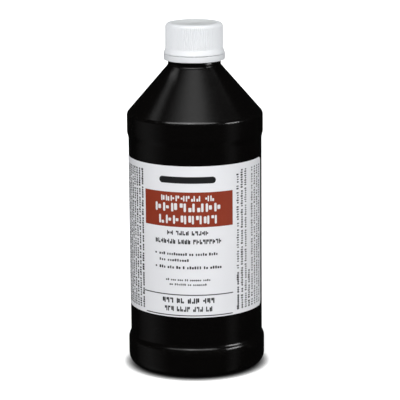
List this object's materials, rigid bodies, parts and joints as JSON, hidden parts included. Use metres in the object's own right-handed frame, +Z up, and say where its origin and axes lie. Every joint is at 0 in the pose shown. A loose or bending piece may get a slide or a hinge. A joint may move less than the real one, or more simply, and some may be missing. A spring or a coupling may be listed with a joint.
{
  "type": "antiseptic solution bottle",
  "caption": "Round dark plastic bottle with a cone shoulder, threaded neck, ribbed white screw cap on a tamper-evident ring, and a white front label with a colour block.",
  "frame": {"origin": "on the bottle's axis, on the plane that the foot ring stands on", "axes": "+Z up along the bottle's axis; the front, with the label, faces -Y"},
  "size_m": [0.0712, 0.0712, 0.1795],
  "materials": {
    "bottle_plastic": "satin",
    "label_film": "satin",
    "cap_plastic": "satin",
    "liner_foam": "matte"
  },
  "bodies": {
    "bottle_body": {"bottle": "bottle_plastic", "label": "label_film"},
    "liner_body": {"cap_liner": "liner_foam"},
    "cap_body": {"cap": "cap_plastic"},
    "band_body": {"tamper_band": "cap_plastic"}
  },
  "joints": [
    {"name": "cap_rise", "type": "slide", "parent": "bottle_body", "child": "liner_body", "axis": [0, 0, 1], "range_m": [0, 0.0255]},
    {"name": "cap_turn", "type": "hinge", "parent": "liner_body", "child": "cap_body", "pos_m": [0, 0, 0.17], "axis": [0, 0, 1], "range_deg": [0, 2160]},
    {"name": "band_spin", "type": "hinge", "parent": "bottle_body", "child": "band_body", "pos_m": [0, 0, 0.162], "axis": [0, 0, 1], "continuous": true}
  ],
  "couplings": [
    {"joint": "cap_rise", "follows": "cap_turn", "m_per_rad": 0.0006737}
  ]
}
